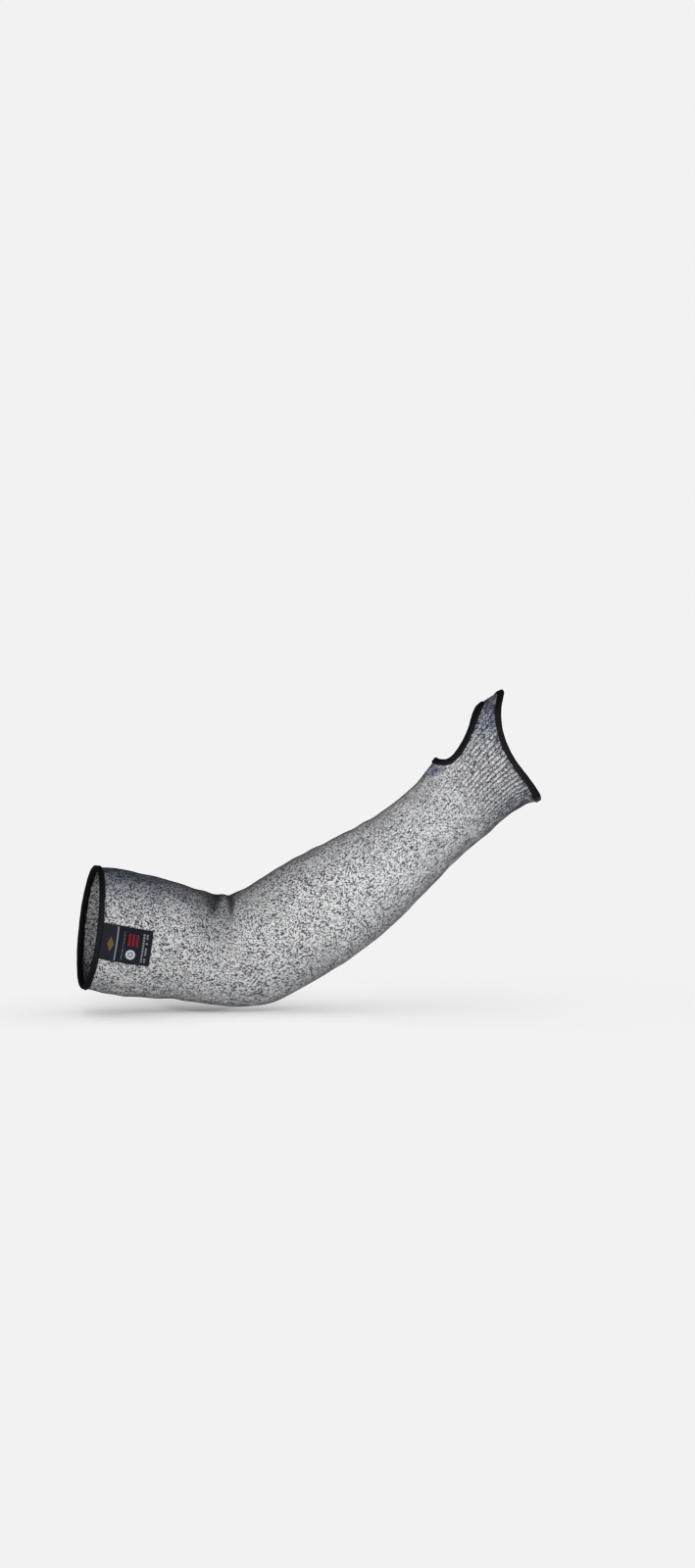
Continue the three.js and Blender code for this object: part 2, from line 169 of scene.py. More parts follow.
class Studio(PropertyGroup):
    """The floor, the lights and the camera."""

    floor_gap: length("Floor gap", "From the floor to the elbow, held up by the arm", 0.004)
    floor_side: length("Floor side", "Of the square floor", 14.0)
    backdrop: colour("Backdrop", "The pale studio tone", (0.888, 0.888, 0.888))
    camera_distance: length("Camera distance", "From the aim", 4.0)
    camera_azimuth: share("Camera azimuth", "Degrees round to the arm opening's side", -8.5)
    camera_elevation: share("Camera elevation", "Degrees above the horizon", 5.0)
    camera_lens: share("Camera lens", "Focal length in millimetres on a 36 mm sensor", 102.27)
    aim: FloatVectorProperty(
        name="Aim", description="The point at the frame's centre", default=(0.2324, -0.007, 0.1258),
        subtype="TRANSLATION",
    )
    light_above: colour("Light above", "The dim even light from above", (0.07, 0.073, 0.085))
    light_below: colour("Light below", "The even light from below the horizon", (0.07, 0.07, 0.072))
    key_power: share("Key power", "Watts of the soft light in front", 3.15)
    left_power: share("Left power", "Watts of the light on the left, into the arm opening", 4.5)
    back_power: share("Back power", "Watts of the soft light behind", 6.0)
    side_power: share("Side power", "Watts of the cool light on the right", 0.5)
    forearm_power: share("Forearm power", "Watts of the light on the forearm", 12.0)
    shadow_power: share("Shadow power", "Watts of the near overhead light, for the floor alone", 2.5)
    floor_power: share("Floor power", "Watts of the wide overhead light, for the floor alone", 20.0)


# The three tables of the form. BENDS gives the arm's heading above the horizontal, and how far a section
# leans from square to it. SECTIONS gives widths and depths as shares of the named sizes, a power that is
# 2 for an ellipse and more for a squarer form, and how much fuller the thumb side is.

BENDS = {
    "at": [0, 0.055, 0.13, 0.2, 0.265, 0.315, 0.385, 0.49, 0.6, 0.7, 0.775, 0.83, 0.87, 0.93, 0.97, 1],
    "heading": [-11.4, -11.4, -9.8, -12.4, -8, 12, 29, 30.7, 35.4, 39.6, 41.2, 46.2, 47, 41.4, 34.4, 24.4],
    "lean": [4, 3, 2, 4, 4, 0, 0, -1, -1, 1, 0, -3, -3, -4, -4.5, -5],
}


def section_table(s):
    """The section table for the sizes s: one list a column, one place along the arm an entry."""
    arm, elbow, fore = s.arm_width, s.elbow_width, s.forearm_width
    wrist, palm = s.wrist_width, s.palm_width
    arm_d, elbow_d, fore_d = s.arm_depth, s.elbow_depth, s.forearm_depth
    wrist_d, palm_d = s.wrist_depth, s.palm_depth
    return {
        "at": BENDS["at"],
        "width": [
            arm, 1.03 * arm, 0.99 * arm, 1.02 * elbow, elbow, 1.04 * elbow, 0.995 * fore, fore,
            0.89 * fore, 1.05 * wrist, wrist, 0.76 * palm, 0.785 * palm, 0.875 * palm, 0.97 * palm, palm,
        ],
        "depth": [
            arm_d, 1.03 * arm_d, 1.01 * arm_d, 1.03 * elbow_d, elbow_d, 0.97 * elbow_d, fore_d, fore_d,
            0.9 * fore_d, 1.17 * wrist_d, wrist_d, 1.12 * palm_d, 1.08 * palm_d, 1.04 * palm_d,
            1.01 * palm_d, palm_d,
        ],
        "boxy": [
            2.05, 2.05, 2.05, 2.08, 2.1, 2.1, 2.06, 2.02, 2.02, 2.05, 2.1, 2.12, 2.15, 2.2, 2.2, 2.2,
        ],
        "egg": [0, 0, 0.02, 0.05, 0.1, 0.14, 0.12, 0.07, 0.04, 0, 0, 0.04, 0.06, 0.06, 0.04, 0],
    }


# Each row is a fold across the sleeve: its share of the length, its depth and width as shares of the
# crease's, the angles around the arm of its middle and of its fading end, and how far it drifts along the
# sleeve, as a share of the crease's width, for each right angle around.
FOLD_COLUMNS = ("at", "depth", "width", "place", "reach", "slant")
FOLDS = (
    (0.231, 0.8, 0.8, 28, 44, -0.9),
    (0.254, -0.5, 0.6, 24, 42, -1.1),
    (0.28, 0.85, 0.95, 26, 44, -1.4),
    (0.236, 0.36, 1.5, 66, 50, -2.2),
    (0.286, 0.3, 1.4, 72, 48, -2.4),
    (0.238, 0.6, 1.0, -44, 44, -0.5),
    (0.305, 0.7, 1.0, -44, 46, 0.6),
    (0.345, 0.2, 1.7, 60, 54, -1.6),
    (0.4, 0.22, 1.8, -72, 66, 1.2),
    (0.16, 0.16, 1.9, 118, 58, -1.0),
    (0.335, -0.28, 1.8, 180, 62, 0.0),
    (0.66, 0.14, 1.9, 52, 60, 0.8),
    (0.73, 0.14, 1.6, 48, 60, 0.6),
    (0.56, 0.14, 2.2, -120, 60, 1.0),
)

# Finer creases that only the finished look has, in the same columns.
FINE_CREASES = (
    (0.222, 0.14, 0.55, 22, 40, -1.6),
    (0.259, 0.16, 0.35, 52, 26, -1.0),
    (0.318, 0.16, 0.5, 44, 36, -1.8),
    (0.268, 0.12, 0.5, 84, 30, -2.0),
    (0.262, 0.2, 0.5, -30, 34, 0.3),
    (0.282, -0.16, 0.5, -40, 34, 0.3),
    (0.33, 0.12, 0.8, -60, 40, 1.5),
    (0.742, 0.1, 0.9, 150, 60, 0.8),
    (0.79, 0.1, 0.8, 168, 50, -0.8),
    (0.81, 0.1, 0.9, 40, 40, 1.4),
)

# Steps of the middle line and of a walk over the cloth, and the small steps that directions are measured
# with, in along, in degrees and in turns round an edge.
LINE_STEPS = 400
WALK_STEPS = 400
ALONG_STEP = 0.0016
ANGLE_STEP = 0.6
TURN_STEP = 0.01

# The shares of the length where the hand edge's dip starts and the arm edge's slant ends, and how far the
# thumb hole's widest place lies towards the wrist, as a share of its half length.
DIP_START = 0.8
SLANT_END = 0.2
HOLE_SKEW = 0.3

# The waves of the unevenness: their turns around the sleeve and their cycles along it lie in these ranges.
WAVE_SEED = 11
WAVE_COUNT = 26
WAVE_TURNS = (1, 9)
WAVE_CYCLES = (3, 26)


def smoothstep(value, low, high):
    """0 below low, 1 above high, and a smooth cubic rise between them."""
    t = np.clip((value - low) / (high - low), 0, 1)
    return t * t * (3 - 2 * t)


def dot(a, b):
    """The dot products of two arrays of vectors."""
    return np.einsum("...i,...i->...", a, b)


def path_lengths(points):
    """How far along a path each of its points lies."""
    return np.concatenate([[0], np.cumsum(np.linalg.norm(np.diff(points, axis=0), axis=1))])


def table_column(table, name, at):
    """A smooth cubic through one column's rows at any share at, carried on straight past either end."""
    rows = np.array(table["at"], float)
    values = np.array(table[name], float)
    before = np.maximum(np.arange(len(rows)) - 1, 0)
    after = np.minimum(np.arange(len(rows)) + 1, len(rows) - 1)
    slope = (values[after] - values[before]) / (rows[after] - rows[before])
    low = np.clip(np.searchsorted(rows, at, side="right") - 1, 0, len(rows) - 2)
    span = rows[low + 1] - rows[low]
    t = (at - rows[low]) / span
    rise = t * t * (3 - 2 * t)
    bend = slope[low] * (t - 2 * t * t + t**3) + slope[low + 1] * (t**3 - t * t)
    smooth = values[low] + (values[low + 1] - values[low]) * rise + span * bend
    start = values[0] + slope[0] * at
    end = values[-1] + slope[-1] * (at - 1)
    return np.where(at <= 0, start, np.where(at >= 1, end, smooth))


class Cloth:
    """The sleeve's cloth as a surface of two parameters, along and angle."""

    def __init__(self, sizes, unevenness):
        self.sizes = sizes
        self.sections = section_table(sizes)
        step = sizes.sleeve_length / LINE_STEPS
        heading = np.radians(table_column(BENDS, "heading", (np.arange(LINE_STEPS) + 0.5) / LINE_STEPS))
        self.line_at = np.linspace(0, 1, LINE_STEPS + 1)
        self.line_x = np.concatenate([[0], np.cumsum(np.cos(heading) * step)])
        self.line_z = np.concatenate([[0], np.cumsum(np.sin(heading) * step)])
        self.step = step * LINE_STEPS
        rng = np.random.default_rng(WAVE_SEED)
        self.turns = rng.integers(*WAVE_TURNS, WAVE_COUNT)
        self.cycles = rng.uniform(*WAVE_CYCLES, WAVE_COUNT) * rng.choice([-1, 1], WAVE_COUNT)
        self.phases = rng.uniform(0, 2 * np.pi, WAVE_COUNT)
        self.height = unevenness * math.sqrt(2 / WAVE_COUNT)
        self.hole = self.thumb_hole()

    def middle(self, at):
        """The arm's middle line, straight on past either end."""
        before = np.minimum(at, 0) * self.step
        after = np.maximum(at - 1, 0) * self.step
        first = np.radians(BENDS["heading"][0])
        last = np.radians(BENDS["heading"][-1])
        x = np.interp(at, self.line_at, self.line_x) + before * np.cos(first) + after * np.cos(last)
        z = np.interp(at, self.line_at, self.line_z) + before * np.sin(first) + after * np.sin(last)
        return x, z

    def push(self, at, angle):
        """How far the folds push the wall in: a bell along the sleeve, a half wave around it, and a sum
        of low waves for the unevenness of soft cloth."""
        s = self.sizes
        depth = np.zeros(np.broadcast(at, angle).shape)
        for row in FOLDS + FINE_CREASES:
            fold = dict(zip(FOLD_COLUMNS, row))
            turn = (angle - fold["place"] + 180) % 360 - 180
            width = fold["width"] * s.crease_width
            drift = fold["slant"] * s.crease_width * turn / 90
            away = ((at - fold["at"]) * s.sleeve_length - drift) / width
            fade = np.where(np.abs(turn) < fold["reach"], 0.5 + 0.5 * np.cos(np.pi * turn / fold["reach"]), 0)
            depth = depth + fold["depth"] * s.crease_depth * np.exp(-away * away) * fade
        for turns, cycles, phase in zip(self.turns, self.cycles, self.phases):
            depth = depth + self.height * np.cos(turns * np.radians(angle) + 2 * np.pi * cycles * at + phase)
        return depth

    def point(self, along, angle):
        """The middle of the wall: an oval section, squared by its power and swollen by its egg, pushed in
        by the folds and set on the middle line at its tip."""
        s = self.sizes
        along, angle = np.broadcast_arrays(np.asarray(along, float), np.asarray(angle, float))
        turn = np.radians(angle)
        cos, sin = np.cos(turn), np.sin(turn)
        dip = s.hand_edge_dip / s.sleeve_length * sin**2 * smoothstep(along, DIP_START, 1)
        slant = s.arm_edge_slant / s.sleeve_length * sin * (1 - smoothstep(along, 0, SLANT_END))
        at = along - dip + slant
        power = table_column(self.sections, "boxy", at)
        radius = (np.abs(cos) ** power + np.abs(sin) ** power) ** (-1 / power)
        push = self.push(at, angle)
        fuller = 1 + table_column(self.sections, "egg", at) * cos
        up = cos * (radius * table_column(self.sections, "width", at) / 2 - push)
        out = sin * (radius * table_column(self.sections, "depth", at) * fuller / 2 - push)
        tip = np.radians(table_column(BENDS, "heading", at) + table_column(BENDS, "lean", at))
        x, z = self.middle(at)
        return np.stack([x - np.sin(tip) * up, -out, z + np.cos(tip) * up], -1)

    def frame(self, along, angle):
        """The lengthwise and around directions and the outward normal, from points either side."""
        lengthwise = self.point(along + ALONG_STEP, angle) - self.point(along - ALONG_STEP, angle)
        lengthwise /= 2 * ALONG_STEP
        around = self.point(along, angle + ANGLE_STEP) - self.point(along, angle - ANGLE_STEP)
        around /= 2 * ANGLE_STEP
        normal = np.cross(around, lengthwise)
        normal /= np.linalg.norm(normal, axis=-1, keepdims=True)
        return lengthwise, around, normal

    def lift(self, along, angle, height):
        """A point raised by height from the middle of the wall, along the outward normal."""
        normal = self.frame(along, angle)[2]
        return self.point(along, angle) + normal * np.asarray(height)[..., None]

    def walk(self, along, angle, towards, distance):
        """The place reached by going a real distance from a place, in the direction towards."""
        steps = np.linspace(0, 1, WALK_STEPS)
        gone = path_lengths(self.point(along + towards[0] * steps, angle + towards[1] * steps))
        reached = np.interp(distance, gone, steps)
        return along + towards[0] * reached, angle + towards[1] * reached

    def thumb_hole(self):
        """The thumb hole's middle and half length in along, and its reach in degrees on each side."""
        s = self.sizes
        finger = self.walk(1, 0, (-0.5, 0), s.web_strap_width)[0]
        wrist = self.walk(finger, 0, (-0.5, 0), s.thumb_hole_length)[0]
        middle = (finger + wrist) / 2
        back = self.walk(middle, 0, (0, 120), s.thumb_hole_back_reach)[1]
        palm = -self.walk(middle, 0, (0, -120), s.thumb_hole_palm_reach)[1]
        return {"middle": middle, "half": (finger - wrist) / 2, "back": back, "palm": palm}

    def hole_edge(self, turn):
        """The thumb hole's outline: an oval whose widest place is skewed towards the wrist."""
        sideways = np.sin(turn)
        along = self.hole["middle"] + self.hole["half"] * (np.cos(turn) - HOLE_SKEW * sideways**2)
        return along, np.where(sideways > 0, self.hole["back"], self.hole["palm"]) * sideways

    def hole_round(self, along, angle):
        """Where a place lies in the hole's own round: (1, 0) is its finger end, radius 1 its outline."""
        angle = (angle + 180) % 360 - 180
        sideways = angle / np.where(angle > 0, self.hole["back"], self.hole["palm"])
        return (along - self.hole["middle"]) / self.hole["half"] + HOLE_SKEW * sideways**2, sideways

    def arm_edge(self, turn):
        """The raw edge at the arm opening."""
        return np.zeros_like(turn), np.degrees(turn)

    def hand_edge(self, turn):
        """The raw edge at the hand opening."""
        return np.ones_like(turn), np.degrees(turn)

    def inset(self, edge, turn, into_cloth, distance):
        """The place reached by going a real distance into the cloth, square to the edge: the square
        direction is solved for in the surface's own two directions."""
        along, angle = edge(turn)
        lengthwise, around, normal = self.frame(along, angle)
        run = self.point(*edge(turn + TURN_STEP)) - self.point(*edge(turn - TURN_STEP))
        inward = np.cross(run, normal)
        inward *= into_cloth / np.linalg.norm(inward, axis=-1, keepdims=True)
        ll, la, aa = dot(lengthwise, lengthwise), dot(lengthwise, around), dot(around, around)
        li, ai = dot(lengthwise, inward), dot(around, inward)
        scale = distance / (ll * aa - la * la)
        return along + (li * aa - ai * la) * scale, angle + (ai * ll - li * la) * scale


# Meshes

def grid_faces(rows, columns, close_rows, close_columns):
    """The quads of a grid of points in row order, joined round where an end is closed."""
    r = np.arange(rows if close_rows else rows - 1)[:, None]
    c = np.arange(columns if close_columns else columns - 1)[None, :]
    up, right = (r + 1) % rows, (c + 1) % columns
    corners = [r * columns + c, up * columns + c, up * columns + right, r * columns + right]
    return np.stack([np.broadcast_to(k, (r.size, c.size)) for k in corners], -1).reshape(-1, 4)


def make_mesh(name, points, faces, corner_uv=None):
    """A smooth shaded mesh object at the origin from points, quads and the quads' corner UVs."""
    mesh = bpy.data.meshes.new(name)
    mesh.from_pydata(points.reshape(-1, 3), [], faces)
    mesh.polygons.foreach_set("use_smooth", np.ones(len(mesh.polygons), bool))
    if corner_uv is not None:
        layer = mesh.uv_layers.new(name="UVMap")
        layer.data.foreach_set("uv", corner_uv.astype(np.float32).ravel())
    mesh.update()
    piece = bpy.data.objects.new(name, mesh)
    bpy.context.scene.collection.objects.link(piece)
    return piece


def place_piece(piece, finish, slot, *nodes):
    """Gives the piece its material, sets it on the body and hides the nodes it stands for. Its slot is not
    used.
    """
    piece.data.materials.append(finish)
    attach(piece, "root")
    if nodes:
        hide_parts(*nodes)


def thicken(piece, thickness, offset):
    """Gives an open surface its wall."""
    wall = piece.modifiers.new("wall", "SOLIDIFY")
    wall.thickness = thickness
    wall.offset = offset
    wall.use_even_offset = True


# The mesh's rows along the sleeve and columns for each rib. Its rows are denser by this much about the
# elbow, within this reach, in shares of the length.
KNIT_ROWS = 160
COLUMNS_A_RIB = 4
ELBOW = 0.27
ELBOW_REACH = 0.055
ELBOW_DENSER = 1.1

# Where the ribs rise from the plain knit, and where they end under the hand tape, in shares of the length.
# They fade from the first to the second share of the way to the thumb side, and about the thumb hole
# between these multiples of its own round.
RIBS_RISE = (0.82, 0.91)
RIBS_END = (0.983, 0.99)
RIBS_FADE = (0.5, 1.05)
RIBS_OFF_HOLE = (1.15, 1.3)


def knit_stations():
    """Shares of the length for the rows of faces, closer together about the elbow's folds."""
    fine = np.linspace(0, 1, 2000)
    density = 1 + ELBOW_DENSER * np.exp(-(((fine - ELBOW) / ELBOW_REACH) ** 2))
    total = np.concatenate([[0], np.cumsum((density[1:] + density[:-1]) / 2)])
    return np.interp(np.linspace(0, total[-1], KNIT_ROWS + 1), total, fine)


def rib_relief(cloth, look, along, angle):
    """The ribs' height: a cosine around the sleeve that grows towards the hand, fades on the thumb side,
    and is flat under the tapes."""
    u = angle / 360 % 1
    grown = smoothstep(along, *RIBS_RISE) * (1 - smoothstep(along, *RIBS_END))
    grown = grown * (1 - smoothstep(np.abs(2 * u - 1), *RIBS_FADE))
    beside_hole = smoothstep(np.hypot(*cloth.hole_round(along, angle)), *RIBS_OFF_HOLE)
    return -look.rib_height * np.cos(2 * np.pi * u * look.ribs) * grown * beside_hole


def knit_surface(cloth, look):
    """The knitted tube: stations along it by angles around it, closed round, without the faces whose
    middles lie inside the thumb hole. Points left inside the hole move out to its outline."""
    columns = COLUMNS_A_RIB * look.ribs
    along, angle = np.meshgrid(knit_stations(), np.arange(columns) * 360 / columns, indexing="ij")
    faces = grid_faces(*along.shape, False, True)
    flat_along, flat_angle = along.ravel(), angle.ravel()
    sideways = np.tile([0, 0, 1, 1], (len(faces), 1))
    u = flat_angle[faces[:, :1]] / 360 + sideways / columns
    middle_along = flat_along[faces].mean(1)
    lengthwise, sideways = cloth.hole_round(middle_along, u.mean(1) * 360)
    kept = lengthwise**2 + sideways**2 > 1
    lengthwise, sideways = cloth.hole_round(flat_along, flat_angle)
    radius = np.hypot(lengthwise, sideways)
    inside = radius < 1
    turn = np.arctan2(sideways, lengthwise)
    edge_along, edge_angle = cloth.hole_edge(turn)
    flat_along = np.where(inside, edge_along, flat_along)
    flat_angle = np.where(inside, edge_angle, flat_angle)
    faces, u = faces[kept], u[kept]
    uv = np.stack([u, flat_along[faces]], -1)
    used, faces = np.unique(faces, return_inverse=True)
    faces = faces.reshape(-1, 4)
    along, angle = flat_along[used], flat_angle[used]
    points = cloth.lift(along, angle, rib_relief(cloth, look, along, angle))
    return points, faces[:, ::-1], uv[:, ::-1]


# A tape's dome rises over the first part of its width, this many times as steep as the whole width would
# let it. Its outside has this many points over each dome and round the raw edge.
DOME_POINTS = 7
DOME_STEEPNESS = 3
BEND_POINTS = 9


def tape_profile(width, cover, top, nose):
    """The tape's closed section as insets from the raw edge and lifts from the middle of the wall: a low
    dome over the cloth, a half oval round the raw edge, the same dome below, and the channel inside.
    The third column is 1 where the outside shows."""
    across = np.linspace(0, 1, DOME_POINTS)
    dome = np.sin(np.pi / 2 * np.minimum(1, DOME_STEEPNESS * across))
    over = np.stack([width * (1 - across), cover + (top - cover) * dome], 1)
    bend = np.linspace(0, np.pi, BEND_POINTS)[1:-1]
    round_edge = np.stack([-nose * np.sin(bend), top * np.cos(bend)], 1)
    under = over[::-1] * [1, -1]
    outside = np.concatenate([over, round_edge, under])
    channel = np.array([[0, -cover], [0, cover]])
    shown = np.concatenate([np.ones(len(outside)), np.zeros(len(channel))])
    return np.column_stack([np.concatenate([outside, channel]), shown])


# A tape stands this far off the cloth that it covers. It has this many rings for each thread wrap, and
# wanders by these waves, each a height, a count once round the edge and a phase. The wander moves its edges
# on the cloth, past this share of its width, and a share of it goes into its height.
TAPE_CLEARANCE = 0.05 * MM
WRAP_SAMPLES = 4
TAPE_WANDERS = ((0.16 * MM, 9, 1), (0.12 * MM, 23, 0))
WANDER_FROM = 0.6
WANDER_HEIGHT = 0.4


def edge_length(cloth, edge):
    """The real length once round a raw edge."""
    return path_lengths(cloth.point(*edge(np.linspace(0, 2 * np.pi, 721))))[-1]


def even_turns(cloth, edge, count):
    """Turns round a raw edge that lie at equal real distances."""
    turn = np.linspace(0, 2 * np.pi, 1441)
    gone = path_lengths(cloth.point(*edge(turn)))
    return np.interp(np.arange(count) / count * gone[-1], gone, turn)


def tape_surface(cloth, tapes, edge, into_cloth, width):
    """A tape swept once round a raw edge. Its outside swells at each thread wrap by a rectified sine, and
    its width and height wander a little, as a sewn edge does."""
    half = cloth.sizes.knit_thickness / 2
    section = tape_profile(width, half + TAPE_CLEARANCE, half + tapes.thickness, tapes.nose)
    distance = edge_length(cloth, edge)
    wraps = int(round(distance / tapes.wrap_pitch))
    count = wraps * WRAP_SAMPLES
    turn = even_turns(cloth, edge, count)
    run = np.arange(count) / count
    swell = np.abs(np.sin(np.pi * run * wraps)) * tapes.wrap_height
    wander = sum(size * np.sin(2 * np.pi * waves * run + phase) for size, waves, phase in TAPE_WANDERS)
    outline = np.roll(section[:, :2], -1, 0) - np.roll(section[:, :2], 1, 0)
    outward = np.stack([outline[:, 1], -outline[:, 0]], 1)
    outward /= np.linalg.norm(outward, axis=1, keepdims=True)
    outward *= np.sign((outward * section[:, :2]).sum(1))[:, None]
    rise = (swell[:, None] + WANDER_HEIGHT * wander[:, None]) * section[None, :, 2]
    inset = section[None, :, 0] + outward[None, :, 0] * rise
    inset = inset + np.where(section[None, :, 0] > WANDER_FROM * width, wander[:, None], 0)
    height = section[None, :, 1] + outward[None, :, 1] * rise
    turn = np.broadcast_to(turn[:, None], inset.shape)
    along, angle = cloth.inset(edge, turn, into_cloth, inset)
    points = cloth.lift(along, angle, height)
    faces = grid_faces(count, len(section), True, True)
    step = np.linalg.norm(np.diff(section[:, :2], axis=0, append=section[:1, :2]), axis=1)
    across = np.concatenate([[0], np.cumsum(step)]) / step.sum()
    r, c = np.divmod(faces[:, 0], len(section))
    lengthwise = np.stack([r, r + 1, r + 1, r], 1) / count
    crosswise = np.stack([across[c], across[c], across[c + 1], across[c + 1]], 1)
    return points, faces, np.stack([lengthwise, crosswise], -1)


# A stitch's thread arches up by this many of its radii, and its end rings shrink to the root of this share.
STITCH_ARCH = 1.2
STITCH_TIP = 0.02


def thread_run(path, normals, radius, dash, sides=6, rings=5):
    """A row of short stitches: between each pair of path points a thread arches up out of the cloth and
    back in. Each stitch is a closed tube whose end rings shrink to nearly a point."""
    a, b = path[:-1], path[1:]
    middle = (a + b) / 2
    a, b = middle + (a - middle) * dash, middle + (b - middle) * dash
    t = np.linspace(0, 1, rings)
    arch = np.sin(np.pi * t) * radius * STITCH_ARCH
    centre = a[:, None] + (b - a)[:, None] * t[None, :, None]
    up = (normals[:-1] + normals[1:])[:, None]
    up = up / np.linalg.norm(up, axis=-1, keepdims=True)
    centre = centre + up * arch[None, :, None]
    ahead = (b - a)[:, None] / np.linalg.norm(b - a, axis=-1)[:, None, None]
    side = np.cross(ahead, up)
    spin = np.arange(sides) * 2 * np.pi / sides
    width = radius * np.sqrt(np.clip(1 - (2 * t - 1) ** 4, STITCH_TIP, 1))
    ring = side[..., None, :] * np.cos(spin)[:, None] + up[..., None, :] * np.sin(spin)[:, None]
    points = centre[:, :, None] + ring * width[None, :, None, None]
    one = grid_faces(rings, sides, False, True)
    faces = (one[None] + (np.arange(len(a)) * rings * sides)[:, None, None]).reshape(-1, 4)
    return points.reshape(-1, 3), faces


def outward_faces(points, faces):
    """The faces turned round if the closed surface has a negative volume."""
    corner = points[faces]
    one = (corner[:, 0] * np.cross(corner[:, 1], corner[:, 2])).sum()
    two = (corner[:, 0] * np.cross(corner[:, 2], corner[:, 3])).sum()
    return faces if one + two > 0 else faces[:, ::-1]


LABEL_ROWS = 90
LABEL_COLUMNS = 64
LABEL_CURL = 0.35 * MM
LABEL_WAVE = 0.05 * MM


def label_reach(cloth, labels, start):
    """Half a label's width at its sewn end, in degrees around the sleeve."""
    return cloth.walk(start, labels.place, (0, 60), labels.label_width / 2)[1] - labels.place


def label_surface(cloth, labels, start, end, lift):
    """A woven label's upper face: a grid from start to end along the sleeve and across its width about
    its place, on the cloth's own shape, with corners that curl up a little and a slight sine wave."""
    s = np.linspace(0, 1, LABEL_ROWS + 1)[:, None]
    t = np.linspace(-1, 1, LABEL_COLUMNS + 1)[None, :]
    along = start + (end - start) * s + 0 * t
    angle = labels.place + label_reach(cloth, labels, start) * t + 0 * s
    curl = LABEL_CURL * smoothstep(s, 0.8, 1.05) * np.abs(t) ** 6
    waves = LABEL_WAVE * np.sin(9 * s + 4 * t)
    points = cloth.lift(along, angle, lift + curl + waves)
    faces = grid_faces(LABEL_ROWS + 1, LABEL_COLUMNS + 1, False, False)
    r, c = np.divmod(faces, LABEL_COLUMNS + 1)
    uv = np.stack([r / LABEL_ROWS, 1 - c / LABEL_COLUMNS], -1)
    return points, faces, uv


# Materials

class Value:
    """A number socket of a node tree. Arithmetic on it adds Math nodes."""

    def __init__(self, graph, socket):
        self.graph = graph
        self.socket = socket

    def math(self, operation, *others):
        """The result of one Math node."""
        node = self.graph.add("ShaderNodeMath", {"operation": operation}, *[self, *others])
        return Value(self.graph, node.outputs[0])

    def __add__(self, other):
        return self.math("ADD", other)

    __radd__ = __add__

    def __mul__(self, other):
        return self.math("MULTIPLY", other)

    __rmul__ = __mul__

    def __sub__(self, other):
        return self.math("SUBTRACT", other)

    def __rsub__(self, other):
        return (self * -1).math("ADD", other)

    def __truediv__(self, other):
        return self.math("DIVIDE", other)

    def __abs__(self):
        return self.math("ABSOLUTE")

    def floor(self):
        return self.math("FLOOR")

    def fraction(self):
        return self.math("FRACT")

    def sine(self):
        return self.math("SINE")

    def low(self, other):
        return self.math("MINIMUM", other)

    def root(self):
        return self.math("SQRT")

    def rise(self, low, high):
        """0 below low, 1 above high, smooth between. low may be above high, which falls instead."""
        settings = {"interpolation_type": "SMOOTHSTEP", "clamp": True}
        node = self.graph.add("ShaderNodeMapRange", settings, self, low, high, 0.0, 1.0)
        return Value(self.graph, node.outputs[0])


class Graph:
    """A node tree, emptied, whose nodes are made one at a time by add."""

    def __init__(self, tree):
        self.tree = tree
        self.tree.nodes.clear()

    def add(self, kind, settings=None, *values, **named):
        """A node of this kind: its settings first, then its sockets' values or links, in order or by
        name. A name is the socket's own, with _ for a space."""
        node = self.tree.nodes.new(kind)
        for key, setting in (settings or {}).items():
            setattr(node, key, setting)
        sockets = dict(enumerate(values))
        sockets.update({key.replace("_", " "): value for key, value in named.items()})
        for key, value in sockets.items():
            self.feed(node.inputs[key], value)
        return node

    def feed(self, socket, value):
        """Links or sets one socket."""
        if isinstance(value, Value):
            value = value.socket
        if isinstance(value, bpy.types.NodeSocket):
            self.tree.links.new(value, socket)
        elif value is not None:
            socket.default_value = value

    def uv(self):
        """The piece's own UV map as two numbers."""
        node = self.add("ShaderNodeUVMap", {"uv_map": "UVMap"})
        parts = self.add("ShaderNodeSeparateXYZ", None, node.outputs["UV"])
        return Value(self, parts.outputs[0]), Value(self, parts.outputs[1])

    def place(self):
        """Object coordinates."""
        return self.add("ShaderNodeTexCoord").outputs["Object"]

    def vector(self, x, y, z=0.0):
        return self.add("ShaderNodeCombineXYZ", None, x, y, z).outputs[0]

    def noise(self, vector, scale, detail=2.0, roughness=0.5):
        node = self.add(
            "ShaderNodeTexNoise", None, Vector=vector, Scale=scale, Detail=detail, Roughness=roughness
        )
        return Value(self, node.outputs[0])

    def dice(self, vector):
        """A random number for each whole place of the vector."""
        return Value(self, self.add("ShaderNodeTexWhiteNoise", None, vector).outputs["Value"])

    def mix(self, factor, first, second):
        """A colour between first and second."""
        node = self.add("ShaderNodeMix", {"data_type": "RGBA", "clamp_factor": True})
        self.feed(node.inputs[0], factor)
        for socket, value in ((node.inputs[6], first), (node.inputs[7], second)):
            self.feed(socket, (*value, 1) if not isinstance(value, bpy.types.NodeSocket) else value)
        return node.outputs[2]


class Finish(Graph):
    """A material with one surface shader."""

    def __init__(self, name):
        self.material = bpy.data.materials.new(name)
        self.material.use_nodes = True
        super().__init__(self.material.node_tree)
        self.surface = self.add("ShaderNodeBsdfPrincipled")
        self.add("ShaderNodeOutputMaterial", None, Surface=self.surface.outputs["BSDF"])

    def set(self, **named):
        """Sets or links sockets of the surface shader."""
        for key, value in named.items():
            self.feed(self.surface.inputs[key.replace("_", " ")], value)

    def bump(self, height, distance, strength=1.0):
        node = self.add("ShaderNodeBump", None, Strength=strength, Distance=distance, Height=height)
        self.set(Normal=node.outputs[0])


# Painted shades that darken the knit's colour in the elbow's folds. Each row has the shares of the length
# where one starts, is full, starts to fade and ends, the shares of the way to the thumb side where it starts
# and is full, and its strength.
PAINTED_FOLD_SHADES = (
    (0.214, 0.229, 0.24, 0.251, 0.7, 0.88, 0.48),
    (0.259, 0.27, 0.282, 0.298, 0.74, 0.9, 0.5),
    (0.15, 0.235, 0.25, 0.31, 0.45, 0.68, 0.3),
)
# The near black that the painted shade darkens the knit towards.
PAINTED_SHADE_TONE = (0.012, 0.012, 0.014)


